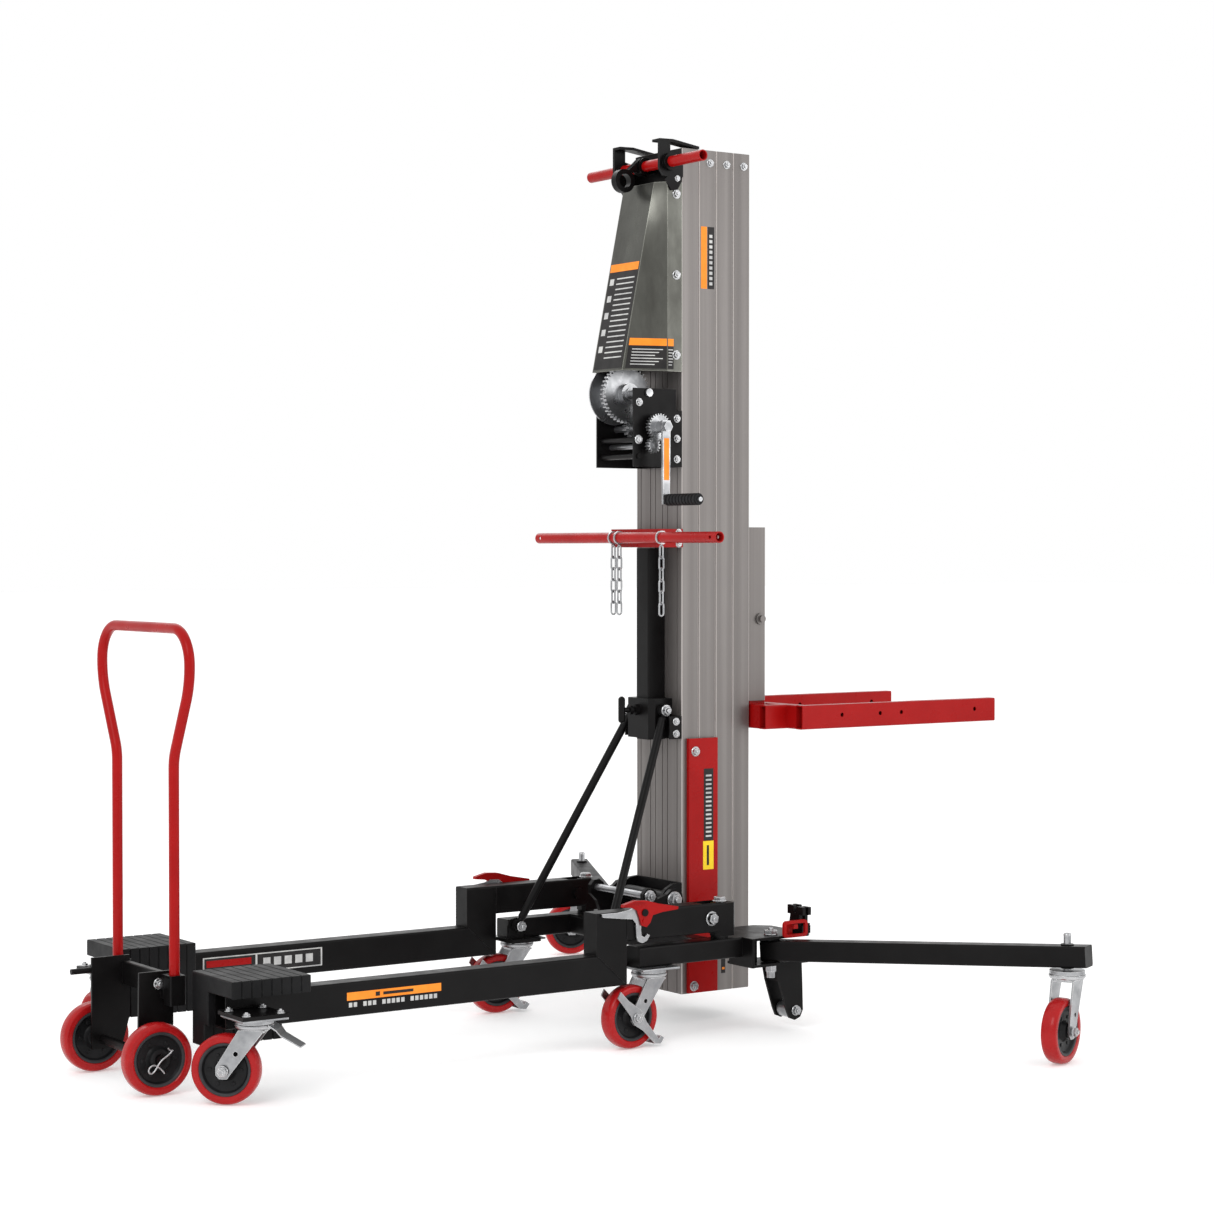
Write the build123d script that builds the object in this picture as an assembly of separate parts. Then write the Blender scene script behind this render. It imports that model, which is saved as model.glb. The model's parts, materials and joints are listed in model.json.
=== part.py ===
from build123d import *
import math
import os

# Counterbalanced material lift: a telescoping mast with forks on a wheeled base.
# X points forward along the forks, Y to the left, Z up.
# The origin lies on the floor, midway between the two braked casters.
# Every left-hand piece is drawn at positive Y, and its right-hand twin is its mirror image.

# ---- driving dimensions, in millimetres ----
WHEEL_R = 70.0
WHEEL_W = 36.0
DOLLY_WHEEL_R = 73.0
CASTER_TOP = 176.0
BRAKE_SWIVEL = (57.0, 270.0)
REAR_SWIVEL = (-951.0, 350.0)
STEM_SWIVEL = (686.0, 927.0)
PLATE_TRAIL = 57.0
STEM_TRAIL = 32.0
BRAKE_YAW = 5.0
REAR_YAW = 43.0
STEM_YAW = 22.0

RAIL_Y = (243.0, 293.0)
RAIL_Z = (176.0, 221.0)
RAIL_X = (16.0, 300.0)
TUBE_WALL = 4.0
RUNNING_GAP = 0.05

LEG_REAR = -985.0
LEG_Z = (142.0, 212.0)
RISER_X = (-98.0, -18.0)
RISER_TOP = 304.0
ARM_Z = (238.0, 304.0)
ARM_FRONT = 253.0
LEG_HINGE = (213.0, 270.0)
SWING_PIN = (253.0, 268.0)
LATCH_PIVOT = (22.0, 299.0)

HUB_PIVOT = (378.0, 295.0)
HUB_Z = (155.0, 221.0)
OUTRIGGER_SIZE = 46.0
OUTRIGGER_RISE = 39.0

MAST_REAR = 278.0
MAST_HALF = 90.0
MAST_Z = (66.0, 2014.0)
SECTION_PITCH = 49.0
SECTION_DEPTH = 48.4
MAST_PIVOT = (241.0, 290.0)
PIVOT_PIN_R = 10.0
STOP_PIN = (172.0, 303.0)
TOWER_Y = (100.0, 112.0)

BRACE_FOOT = (3.0, 178.0, 216.0)
BRACE_HEAD = (249.0, 68.0, 722.0)
BRACE_R = 9.5
GUIDE_Z = (653.0, 1096.0)
GUIDE_HALF = 24.0
GUIDE_REAR = 230.0
COLLAR_Z = (657.0, 749.0)

COVER_Z = (1501.0, 1934.0)
COVER_REAR = (131.0, 220.0)
COVER_FLARE = 237.0

LOAD_BAR = (182.0, 1120.0)
LOAD_BAR_HALF = 362.0
TOP_BAR = (239.0, 1978.0)
TOP_BAR_HALF = 223.0
BAR_R = 12.5

DRUM_AXLE = (183.0, 1450.0)
CRANK_AXLE = (197.0, 1371.2)
WINCH_NEAR = (-90.0, -86.0)
WINCH_FAR = (56.0, 60.0)
MAIN_MODULE = 3.2
OUTER_MODULE = 2.25
OUTER_GEAR_Y = (-116.0, -104.0)
MAIN_TEETH = 40
SHAFT_TEETH = 10
CRANK_TEETH = 26
LOW_TEETH = 14
CRANK_ARM = 166.0
GRIP_LENGTH = 120.0

CARRIAGE_Z = (738.0, 1145.0)
CARRIAGE_FRONT = 524.4
CARRIAGE_HALF = 86.0
FORK_Z = (674.0, 730.0)
FORK_WALL = 3.0
FORK_X = (540.0, 1142.0)
FORK_WIDTH = 27.0
FORK_OUTER = 207.0

WEIGHT_X = (-1000.0, -825.0)
WEIGHT_PLATES = 8
DOLLY_X = -1022.0
DOLLY_HALF = 137.0
DOLLY_AXLE = (-1069.0, 73.0)
HANDLE_R = 10.8


# ---- shape helpers ----
def block(x, y, z):
    """A box between three pairs of coordinates."""
    centre = [(pair[0] + pair[1]) / 2 for pair in (x, y, z)]
    size = [abs(pair[1] - pair[0]) for pair in (x, y, z)]
    return Pos(*centre) * Box(*size)


def soft_block(x, y, z, radius):
    """A box with all its edges rounded."""
    solid = block(x, y, z)
    return fillet(solid.edges(), radius)


def rod(start, end, radius):
    """A round bar from one point to another."""
    line = Vector(*end) - Vector(*start)
    return Solid.make_cylinder(radius, line.length, Plane(origin=start, z_dir=line))


def rod_y(x, z, y, radius):
    """A round bar along Y."""
    return rod((x, y[0], z), (x, y[1], z), radius)


def rod_z(x, y, z, radius):
    """A round bar along Z."""
    return rod((x, y, z[0]), (x, y, z[1]), radius)


def pipe(start, end, outer, inner):
    """A straight round tube."""
    return rod(start, end, outer) - rod(start, end, inner)


def hexagon(x, z, y, radius):
    """A hexagonal nut or bolt head along Y."""
    face = Plane(origin=(x, y[0], z), x_dir=(1, 0, 0), z_dir=(0, 1, 0))
    return extrude(face * RegularPolygon(radius, 6), amount=y[1] - y[0])


def hexagon_z(x, y, z, radius):
    """A hexagonal nut or bolt head along Z."""
    return extrude(Pos(x, y, z[0]) * RegularPolygon(radius, 6), amount=z[1] - z[0])


def plate_xz(points, y):
    """A flat plate whose outline lies in X and Z."""
    face = Plane(origin=(0, y[1], 0), x_dir=(1, 0, 0), z_dir=(0, -1, 0))
    return extrude(face * make_face(Polyline(*points, close=True)), amount=y[1] - y[0])


def plate_yz(points, x):
    """A flat plate whose outline lies in Y and Z."""
    face = Plane(origin=(x[0], 0, 0), x_dir=(0, 1, 0), z_dir=(1, 0, 0))
    return extrude(face * make_face(Polyline(*points, close=True)), amount=x[1] - x[0])


def plate_xy(points, z):
    """A flat plate whose outline lies in X and Y."""
    return extrude(Pos(0, 0, z[0]) * make_face(Polyline(*points, close=True)), amount=z[1] - z[0])


def box_tube(start, end, width, height, wall, radius, up=(0, 0, 1)):
    """A rectangular steel tube with rounded corners, open at both ends."""
    line = Vector(*end) - Vector(*start)
    side = Vector(*up).cross(line)
    face = Plane(origin=start, x_dir=side, z_dir=line)
    outer = RectangleRounded(width, height, radius)
    inner = RectangleRounded(width - 2 * wall, height - 2 * wall, max(radius - wall, 0.8))
    return extrude(face * (outer - inner), amount=line.length)


def box_bar(start, end, width, height, radius, up=(0, 0, 1)):
    """A solid rectangular bar with rounded corners."""
    line = Vector(*end) - Vector(*start)
    side = Vector(*up).cross(line)
    face = Plane(origin=start, x_dir=side, z_dir=line)
    return extrude(face * RectangleRounded(width, height, radius), amount=line.length)


def mirrored(shapes):
    """The right-hand twins of left-hand shapes."""
    return [mirror(shape, about=Plane.XZ) for shape in shapes]


def save(name, shapes):
    """Write one sub-part as its own STEP file."""
    solids = []
    for shape in shapes:
        solids.extend(shape.solids())
    export_step(Compound(children=solids), f"parts/{name}.step")


def save_pair(name, shapes):
    """Write a left-hand sub-part and its mirror image."""
    save(f"{name}_left", shapes)
    save(f"{name}_right", mirrored(shapes))


def gear_profile(module, teeth):
    """An involute gear outline with generous backlash."""
    pitch_r = module * teeth / 2
    base_r = pitch_r * math.cos(math.radians(20))
    tip_r = pitch_r + 0.8 * module
    root_r = pitch_r - 1.2 * module
    half = 0.40 * math.pi / teeth

    def spread(radius):
        turn = math.sqrt(max((radius / base_r) ** 2 - 1, 0))
        return turn - math.atan(turn)

    radii = [max(root_r, base_r), pitch_r, tip_r]
    points = []
    for tooth in range(teeth):
        middle = 2 * math.pi * tooth / teeth
        flank = [(r, half + spread(pitch_r) - spread(r)) for r in radii]
        if root_r < base_r:
            flank.insert(0, (root_r, flank[0][1]))
        for r, a in flank:
            points.append((r * math.cos(middle - a), r * math.sin(middle - a)))
        for r, a in reversed(flank):
            points.append((r * math.cos(middle + a), r * math.sin(middle + a)))
    return make_face(Polyline(*points, close=True))


def gear(x, z, y, module, teeth, turn):
    """A spur gear on an axle along Y, with one tooth pointing at the angle turn."""
    face = Plane(origin=(x, y[1], z), x_dir=(1, 0, 0), z_dir=(0, -1, 0))
    return extrude(face * Rot(0, 0, turn) * gear_profile(module, teeth), amount=y[1] - y[0])


# ---- wheels and casters ----
def wheel(x, y, radius, width, bore, yaw):
    """A moulded wheel: a polyurethane tyre on a dished hub."""
    half = width / 2
    core = radius * 0.77
    tyre_half = [
        (core, 0), (core, half - 3), (radius - 7, half), (radius - 2.5, half - 3.5), (radius, half - 9), (radius, 0)
    ]
    tyre_outline = tyre_half + [(r, -h) for r, h in reversed(tyre_half[1:-1])]
    rim = core - 0.02
    hub_half = [
        (bore, 0), (bore, half + 2), (bore + 9, half + 2), (bore + 9, half - 9), (rim - 14, half - 9),
        (rim - 10, half - 4), (rim, half - 4), (rim, 0)
    ]
    hub_outline = hub_half + [(r, -h) for r, h in reversed(hub_half[1:-1])]
    solids = []
    for outline in (tyre_outline, hub_outline):
        face = Plane.XZ * make_face(Polyline(*outline, close=True))
        solids.append(revolve(face, Axis.Z))
    place = Pos(x, y, radius) * Rot(0, 0, yaw) * Rot(90, 0, 0)
    return [place * solid for solid in solids]


def fork_plate(side, trail, top, axle_r):
    """One cheek of a caster fork: a tapered plate from the swivel head to the axle."""
    inner = WHEEL_W / 2 + 4.5
    y = (inner, inner + 4) if side > 0 else (-inner - 4, -inner)
    lower = WHEEL_R
    outline = [(26, top), (-26, top), (-trail - 15, lower + 8), (-trail - 15, lower - 8)]
    outline += [(-trail - 8, lower - 16), (-trail + 8, lower - 16), (-trail + 15, lower - 6)]
    cheek = plate_xz(outline, y)
    slot = rod_y(-trail * 0.55, lower + 34, (y[0] - 1, y[1] + 1), 5)
    return cheek - slot


def caster_fork(x, y, yaw, trail, head_top, stem_top):
    """A swivelling caster fork with its raceway and axle bolt."""
    crown_z = head_top - 24
    pieces = [fork_plate(side, trail, crown_z + 4, 6) for side in (-1, 1)]
    crown = block((-26, 26), (-WHEEL_W / 2 - 8.5, WHEEL_W / 2 + 8.5), (crown_z, crown_z + 4))
    head = rod_z(0, 0, (crown_z + 4, head_top - 8), 30) + rod_z(0, 0, (head_top - 8, head_top - 0.3), 38)
    body = crown + head
    for piece in pieces:
        body = body + piece
    reach = WHEEL_W / 2 + 12.5
    axle = rod_y(-trail, WHEEL_R, (-reach - 3, reach + 3), 6)
    nuts = hexagon(-trail, WHEEL_R, (reach, reach + 6), 10) + hexagon(-trail, WHEEL_R, (-reach - 6, -reach), 10)
    body = body + axle + nuts
    if stem_top:
        body = body + rod_z(0, 0, (head_top - 0.4, stem_top), 8)
    return Pos(x, y, 0) * Rot(0, 0, yaw) * body


def wheel_centre(x, y, yaw, trail):
    """Where a caster's wheel stands, behind its swivel."""
    angle = math.radians(yaw)
    return x - trail * math.cos(angle), y - trail * math.sin(angle)


def caster(name, swivel, yaw, trail, head_top, stem_top=None):
    """A complete caster: its fork and its wheel."""
    x, y = swivel
    save(f"{name}_fork", [caster_fork(x, y, yaw, trail, head_top, stem_top)])
    wx, wy = wheel_centre(x, y, yaw, trail)
    save(f"{name}_wheel", wheel(wx, wy, WHEEL_R, WHEEL_W, 6 + RUNNING_GAP, yaw))


def brake_pedal(x, y, yaw):
    """The rocking brake pedal of a caster: two side plates on the axle and a tread past the wheel."""
    inner = WHEEL_W / 2 + 9.0
    outer = inner + 3
    z = WHEEL_R
    outline = [(-48, z + 62), (-26, z + 40), (10, z + 16), (26, z - 12), (60, z - 52), (50, z - 62), (16, z - 30)]
    outline += [(-10, z - 14), (-20, z + 6), (-56, z + 48)]
    body = None
    for span in ((inner, outer), (-outer, -inner)):
        side = plate_xz(outline, span) - rod_y(0, z, (-outer - 1, outer + 1), 6 + RUNNING_GAP)
        body = side if body is None else body + side
    tread = [(60, z - 52), (68, z - 46), (76, z - 52), (66, z - 64), (50, z - 62)]
    body = body + plate_xz(tread, (-outer, outer))
    wx, wy = wheel_centre(x, y, yaw, PLATE_TRAIL)
    return Pos(wx, wy, 0) * Rot(0, 0, yaw) * body


def caster_plate(x, y, top):
    """The plated top plate of a caster."""
    return soft_block((x - 50, x + 50), (y - 50, y + 50), (top - 5, top), 2)


# ---- base ----
def base_frame():
    """The welded base: two side rails, a cross tube, pivot towers and outrigger hubs."""
    rail_mid_y = sum(RAIL_Y) / 2
    rail_mid_z = sum(RAIL_Z) / 2
    depth = RAIL_Z[1] - RAIL_Z[0]
    width = RAIL_Y[1] - RAIL_Y[0]
    ends = [(x, rail_mid_y, rail_mid_z) for x in RAIL_X]
    side = box_tube(*ends, width, depth, TUBE_WALL, 5)
    side = side + block((RAIL_X[0], RAIL_X[0] + 4), (RAIL_Y[0] + 3, RAIL_Y[1] - 3), (RAIL_Z[0] + 3, RAIL_Z[1] - 3))
    side = side + block((-18, 60), (170, RAIL_Y[0]), (RAIL_Z[0], RAIL_Z[0] + 8))
    side = side + plate_xz([(-18, 180), (24, 180), (20, 222), (6, 233), (-8, 230), (-18, 214)], (188, 194))
    side = side + rod_z(*SWING_PIN, (RAIL_Z[1] - 1, RAIL_Z[1] + 5), 20)
    side = side + outrigger_hub() + pivot_tower()
    side = side - rod_z(HUB_PIVOT[0], HUB_PIVOT[1], (HUB_Z[0] - 1, HUB_Z[1] + 1), 10)
    side = side - rod_z(SWING_PIN[0], SWING_PIN[1], (RAIL_Z[1] - 6, RAIL_Z[1] + 6), 9)
    side = side - rod_y(450, 42, (235, 300), 6)
    side = side - rod_y(BRACE_FOOT[0], BRACE_FOOT[2], (187, 195), 6)
    cross = box_tube((215, -RAIL_Y[0], rail_mid_z), (215, RAIL_Y[0], rail_mid_z), 50, depth, TUBE_WALL, 5)
    frame = side + cross + mirror(side, about=Plane.XZ)
    return frame - rod_y(*MAST_PIVOT, (-120, 120), PIVOT_PIN_R) - rod_y(*STOP_PIN, (-120, 120), 8)


def outrigger_hub():
    """The front corner of the base: two flanges around the outrigger's pivot, and a skid fork."""
    low, high = HUB_Z
    web = block((RAIL_X[1] - 1, RAIL_X[1] + 6), (RAIL_Y[0], 330), (low, high))
    web = web + block((RAIL_X[1] - 1, 346), (262, 286), (low, high))
    top = [(300, 150), (440, 150), (470, 180), (470, 320), (460, 328), (300, 328)]
    bottom = [(300, 236), (470, 236), (470, 320), (460, 328), (300, 328)]
    flanges = plate_xy(top, (high - 6, high)) + plate_xy(bottom, (low, low + 6))
    cheek = [(393, low), (467, low), (469, 110), (471, 42), (463, 26), (447, 20), (432, 26), (424, 44), (402, 112)]
    skid = plate_xz(cheek, (240, 246)) + plate_xz(cheek, (290, 296))
    bridge = block((404, 410), (246, 290), (112, low))
    post = [(276, high), (324, high), (324, 238), (314, 238), (314, 262), (326, 262), (326, 280), (304, 280)]
    post += [(300, 266), (296, 266), (292, 282), (270, 282), (270, 262), (280, 262), (276, 240)]
    hook = plate_yz(post, (446, 454)) + plate_yz(post, (462, 470))
    stop = block((454, 470), (296, 322), (high - 1, high + 22))
    return web + flanges + skid + bridge + hook + stop


def pivot_tower():
    """One of the two uprights that carry the mast's pivot pin and the stop pin behind it."""
    x, z = MAST_PIVOT
    sx, sz = STOP_PIN
    outline = [(192, 220), (x + 20, 220), (x + 26, z - 8), (x + 22, z + 14), (x + 8, z + 25), (x - 8, z + 24)]
    outline += [(x - 20, z + 14), (sx + 22, sz - 8), (sx + 18, sz + 10), (sx + 6, sz + 18), (sx - 8, sz + 17)]
    outline += [(sx - 18, sz + 6), (sx - 18, sz - 14), (sx, sz - 32)]
    return plate_xz(outline, TOWER_Y)


def base_hardware():
    """The zinc-plated pins and bolts of the base, and the braked casters' top plates."""
    left = []
    left.append(rod_z(*SWING_PIN, (RAIL_Z[1] - 4, 304), 9) + hexagon_z(*SWING_PIN, (304, 312), 14))
    pivot = rod_z(*HUB_PIVOT, (124, HUB_Z[1]), 10) + hexagon_z(*HUB_PIVOT, (HUB_Z[1], 231), 16)
    left.append(pivot + hexagon_z(*HUB_PIVOT, (138, HUB_Z[0]), 13))
    left.append(rod_y(450, 42, (240, 296), 6) + hexagon(450, 42, (296, 304), 10) + hexagon(450, 42, (232, 240), 10))
    bolt = rod_y(BRACE_FOOT[0], BRACE_FOOT[2], (166, 194), 6)
    bolt = bolt + hexagon(BRACE_FOOT[0], BRACE_FOOT[2], (194, 202), 10)
    left.append(bolt + hexagon(BRACE_FOOT[0], BRACE_FOOT[2], (158, 166), 10))
    left.append(caster_plate(*BRAKE_SWIVEL, CASTER_TOP))
    pin = rod_y(*MAST_PIVOT, (-122, 122), PIVOT_PIN_R)
    stop = rod_y(*STOP_PIN, (-122, 122), 8)
    for side in (-1, 1):
        span = sorted((side * TOWER_Y[1], side * (TOWER_Y[1] + 8)))
        pin = pin + hexagon(*MAST_PIVOT, span, 15)
        stop = stop + hexagon(*STOP_PIN, span, 12)
    return left + mirrored(left) + [pin, stop]


def skid_roller():
    """The small roller held between the skid fork's cheeks."""
    roller = rod_y(450, 42, (247, 289), 19) - rod_y(450, 42, (240, 300), 6 + RUNNING_GAP)
    return [chamfer(roller.edges().filter_by(GeomType.CIRCLE).sort_by(SortBy.RADIUS)[-2:], 2)]


# ---- rear legs ----
def leg():
    """A rear leg: a low tube, a mitred riser and the short arm that reaches the hinge."""
    y = RAIL_Y
    low, high = LEG_Z
    outline = [(LEG_REAR, low), (RISER_X[1], low), (RISER_X[1], RISER_TOP), (RISER_X[0], RISER_TOP)]
    outline += [(RISER_X[0], high), (LEG_REAR, high)]
    skin = plate_xz(outline, y)
    skin = fillet(skin.edges().filter_by(Axis.X), 5)
    t = TUBE_WALL
    hollow = [(LEG_REAR - 1, low + t), (RISER_X[1] - t, low + t), (RISER_X[1] - t, RISER_TOP - t)]
    hollow += [(RISER_X[0] + t, RISER_TOP - t), (RISER_X[0] + t, high - t), (LEG_REAR - 1, high - t)]
    skin = skin - plate_xz(hollow, (y[0] + t, y[1] - t))
    mid_y, mid_z = sum(y) / 2, sum(ARM_Z) / 2
    height = ARM_Z[1] - ARM_Z[0]
    arm = box_tube((RISER_X[1], mid_y, mid_z), (ARM_FRONT, mid_y, mid_z), y[1] - y[0], height, t, 5)
    arm = arm - block((190, ARM_FRONT + 1), (y[0] + t, y[1] - t), (ARM_Z[0] - 1, ARM_Z[1] + 1))
    arm = arm - plate_xz([(ARM_FRONT - 24, 230), (ARM_FRONT + 1, 230), (ARM_FRONT + 1, 262)], (y[0] - 1, y[1] + 1))
    arm = arm - rod_y(*LEG_HINGE, (y[0] - 1, y[1] + 1), 8 + RUNNING_GAP)
    cx, cy = REAR_SWIVEL
    shelf = block((cx - 51, cx + 51), (y[1] - 1, cy + 50), (CASTER_TOP, CASTER_TOP + 7))
    pin = rod_y(*LATCH_PIVOT, (288, 304.3), 5) + rod_y(*LATCH_PIVOT, (304.3, 307), 8)
    return [skin + arm + shelf + pin]


def leg_hardware():
    """The rear caster's top plate under the leg's outer shelf."""
    return [caster_plate(*REAR_SWIVEL, CASTER_TOP)]


def leg_knuckle():
    """The hinge block: it turns about the upright pin and carries the leg's cross bolt."""
    tongue = block((195, 240), (251, 285), (248, 292))
    body = block((234, 288), (250, 286), (226.2, 300))
    body = chamfer(body.edges().filter_by(Axis.Z), 8)
    body = body + tongue
    body = body - rod_z(*SWING_PIN, (220, 305), 9 + RUNNING_GAP)
    bolt = rod_y(*LEG_HINGE, (241, 295), 8)
    heads = hexagon(*LEG_HINGE, (293.2, 301), 14) + hexagon(*LEG_HINGE, (235, 242.8), 14)
    return [body + bolt + heads]


def counterweight():
    """A stack of cast plates that hook over the leg, deep on the inner side."""
    pitch = (WEIGHT_X[1] - WEIGHT_X[0]) / WEIGHT_PLATES
    leg_top = LEG_Z[1]
    outline = [(172, 100), (226, 100), (226, 145), (242.5, 145), (242.5, leg_top), (350, leg_top), (350, 246), (172, 246)]
    plates = []
    for index in range(WEIGHT_PLATES):
        start = WEIGHT_X[0] + index * pitch
        plate = plate_yz(outline, (start, start + pitch))
        rims = plate.faces().sort_by(Axis.X)
        plates.append(chamfer(rims[0].edges() + rims[-1].edges(), 2))
    return plates


def latch_lever():
    """The red over-centre lever on the outer side of the arm."""
    outline = [(-40, 315), (-38, 321), (-8, 328), (24, 326), (60, 316), (113, 306), (112, 300), (70, 297), (44, 292)]
    outline += [(37, 276), (27, 267), (14, 271), (9, 288), (2, 305), (-12, 312)]
    lever = plate_xz(outline, (300, 304)) + rod_y(21, 281, (304, 306), 5)
    lever = lever + plate_xz([(-40, 315), (-38, 321), (-8, 328), (24, 326), (23, 323), (-8, 325), (-36, 318)], (303, 312))
    return [lever - rod_y(*LATCH_PIVOT, (299, 305), 5 + RUNNING_GAP)]


def latch_hook():
    """The plated strap that reaches back over the riser and down to its hooked end."""
    outline = [(-88, 303), (-86, 296), (-40, 290), (-6, 286), (2, 276), (4, 246), (9, 236), (20, 232), (32, 237)]
    outline += [(39, 247), (33, 251), (25, 244), (17, 248), (15, 262), (17, 283), (31, 290), (34, 303), (22, 311)]
    outline += [(0, 312), (-14, 307), (-44, 303)]
    hook = plate_xz(outline, (295, 299))
    return [hook - rod_y(*LATCH_PIVOT, (294, 300), 5 + RUNNING_GAP)]


# ---- outriggers ----
def outrigger():
    """A swinging front leg that rises slightly towards its caster."""
    px, py = HUB_PIVOT
    sx, sy = STEM_SWIVEL
    length = math.hypot(sx - px, sy - py)
    dx, dy = (sx - px) / length, (sy - py) / length
    slope = OUTRIGGER_RISE / length
    mid_z = (HUB_Z[0] + HUB_Z[1]) / 2 - 2
    start = (px - 16 * dx, py - 16 * dy, mid_z - 16 * slope)
    end = (sx + 48 * dx, sy + 48 * dy, mid_z + slope * (length + 48))
    tube = box_tube(start, end, OUTRIGGER_SIZE, OUTRIGGER_SIZE, TUBE_WALL, 5)
    bar_cap = (start[0] + 4 * dx, start[1] + 4 * dy, start[2] + 4 * slope)
    cap = box_bar(start, bar_cap, 44, 44, 4)
    far_cap = box_bar((end[0] - 4 * dx, end[1] - 4 * dy, end[2] - 4 * slope), end, 44, 44, 4)
    barrel = rod_z(px, py, (HUB_Z[0] + 6.5, HUB_Z[1] - 6.5), 20)
    socket = rod_z(sx, sy, (mid_z + OUTRIGGER_RISE - 26, mid_z + OUTRIGGER_RISE + 26), 14)
    arm = tube + cap + far_cap + barrel + socket
    arm = arm - rod_z(px, py, (HUB_Z[0], HUB_Z[1]), 10 + RUNNING_GAP)
    return [arm - rod_z(sx, sy, (150, 300), 8 + RUNNING_GAP)]


def outrigger_lock():
    """The plunger that holds the outrigger, with its pull ring."""
    low = HUB_Z[1] + 0.6
    plunger = rod_z(418, 312, (low, low + 24), 7)
    link = block((412, 424), (312, 336), (low + 14, low + 24))
    ring = block((382, 450), (332, 339), (217, 255))
    ring = fillet(ring.edges().filter_by(Axis.Y), 9)
    window = block((389, 443), (330, 341), (224, 248))
    window = fillet(window.edges().filter_by(Axis.Y), 4)
    return [plunger + link + (ring - window)]


# ---- mast ----
def section_profile(index, half, depth, keys, slots):
    """The cross-section of one aluminium mast extrusion."""
    rear = MAST_REAR + index * SECTION_PITCH
    middle = rear + depth / 2
    outer = Pos(middle, 0) * RectangleRounded(depth, 2 * half, 2.5)
    inner = Pos(middle, 0) * Rectangle(depth - 8, 2 * half - 8)
    shape = outer - inner
    for y in (-54, 54):
        if slots:
            shape = shape - Pos(rear + depth - 2, y) * Rectangle(6, 9)
        if keys:
            shape = shape + Pos(rear - 3.5, y) * Rectangle(9, 6) + Pos(rear - 8, y) * Rectangle(4, 14)
    if not keys:
        for y in (-72, -34, -14, 14, 34, 72):
            shape = shape - Pos(rear, y) * Rectangle(2.4, 2.4)
    return shape


def mast_section(index):
    """One telescoping column of the mast."""
    profile = section_profile(index, MAST_HALF, SECTION_DEPTH, keys=index > 0, slots=True)
    column = extrude(Pos(0, 0, MAST_Z[0]) * profile, amount=MAST_Z[1] - MAST_Z[0])
    return [column]


def carriage():
    """The short column that slides on the front of the mast and carries the forks."""
    profile = section_profile(4, CARRIAGE_HALF, SECTION_DEPTH + 2, keys=True, slots=False)
    column = extrude(Pos(0, 0, CARRIAGE_Z[0]) * profile, amount=CARRIAGE_Z[1] - CARRIAGE_Z[0])
    knob = rod_y(508, 930, (-CARRIAGE_HALF - 5, -CARRIAGE_HALF + 1), 13)
    return [column + knob + rod_y(508, 930, (-CARRIAGE_HALF - 13, -CARRIAGE_HALF - 5), 8)]


def fork_tube(left_y):
    """One fork: a flat rectangular tube, open at its rear end, with cross holes."""
    middle = left_y + FORK_WIDTH / 2
    z = sum(FORK_Z) / 2
    tube = box_tube((FORK_X[0], middle, z), (FORK_X[1], middle, z), FORK_WIDTH, FORK_Z[1] - FORK_Z[0], FORK_WALL, 4)
    for x in (659, 776, 842, 1076):
        tube = tube - rod_y(x, 705, (left_y - 1, left_y + FORK_WIDTH + 1), 5)
    tip = block((FORK_X[1] - 3, FORK_X[1]), (left_y + 2, left_y + FORK_WIDTH - 2), (FORK_Z[0] + 2, FORK_Z[1] - 2))
    return tube + tip


def fork_frame():
    """The two forks and their rear cross tubes, bolted under the carriage."""
    z = sum(FORK_Z) / 2
    height = FORK_Z[1] - FORK_Z[0]
    inner = FORK_OUTER - FORK_WIDTH
    front = box_tube((556, -inner, z), (556, inner, z), 30, height, FORK_WALL, 4)
    rear = box_tube((495, -121, z), (495, 121, z), 30, height, FORK_WALL, 4)
    frame = front + rear + fork_tube(inner) + fork_tube(-FORK_OUTER)
    for side in (-1, 1):
        frame = frame + box_tube((478, side * 134.5, z), (541.5, side * 134.5, z), FORK_WIDTH, height, FORK_WALL, 4)
    frame = frame + block((482, 522), (-80, 80), (FORK_Z[1] - 1, CARRIAGE_Z[0]))
    back = block((CARRIAGE_FRONT + 0.1, CARRIAGE_FRONT + 10), (-70, 70), (FORK_Z[1] - 20, 800))
    return [frame + back + block((509, 541.5), (-70, 70), (FORK_Z[1] - 20, FORK_Z[1] - 1))]


def guide_rail():
    """The steel channel on the mast's rear that guides the collar, and the mast's pivot foot."""
    depth = MAST_REAR - GUIDE_REAR
    ends = [((MAST_REAR + GUIDE_REAR) / 2, 0, level) for level in GUIDE_Z]
    rail = box_tube(*ends, 2 * GUIDE_HALF, depth, 3, 3, up=(-1, 0, 0))
    x, z = MAST_PIVOT
    lug = [(MAST_REAR, z - 40), (MAST_REAR, z + 35), (x + 12, z + 33), (x - 8, z + 22), (x - 20, z + 8), (x - 20, z - 8)]
    lug += [(x - 8, z - 22), (x + 12, z - 34)]
    foot = block((MAST_REAR - 6, MAST_REAR), (-88, 88), (z - 40, z + 35))
    for side in (-1, 1):
        foot = foot + plate_xz(lug, sorted((side * 80, side * 90)))
    foot = foot + pipe((x, -99.5, z), (x, 99.5, z), 17, PIVOT_PIN_R + RUNNING_GAP)
    return [rail, foot - rod_y(x, z, (-101, 101), PIVOT_PIN_R + RUNNING_GAP)]


def side_channels():
    """The red guard channels on both sides of the mast."""
    low, high = 68.0, 657.0
    outline = [(292, 90.3), (295, 90.3), (295, 97), (371, 97), (371, 90.3), (374, 90.3), (374, 100), (292, 100)]
    left = plate_xy(outline, (low, high))
    lugs = block((293, 324), (90.3, 98), (612, 642)) + block((293, 324), (90.3, 98), (69, 99))
    bolts = rod_y(310, 627, (100, 105), 8) + rod_y(306, 84, (100, 105), 8)
    return [left + lugs + bolts] + mirrored([left + lugs + bolts])


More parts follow.
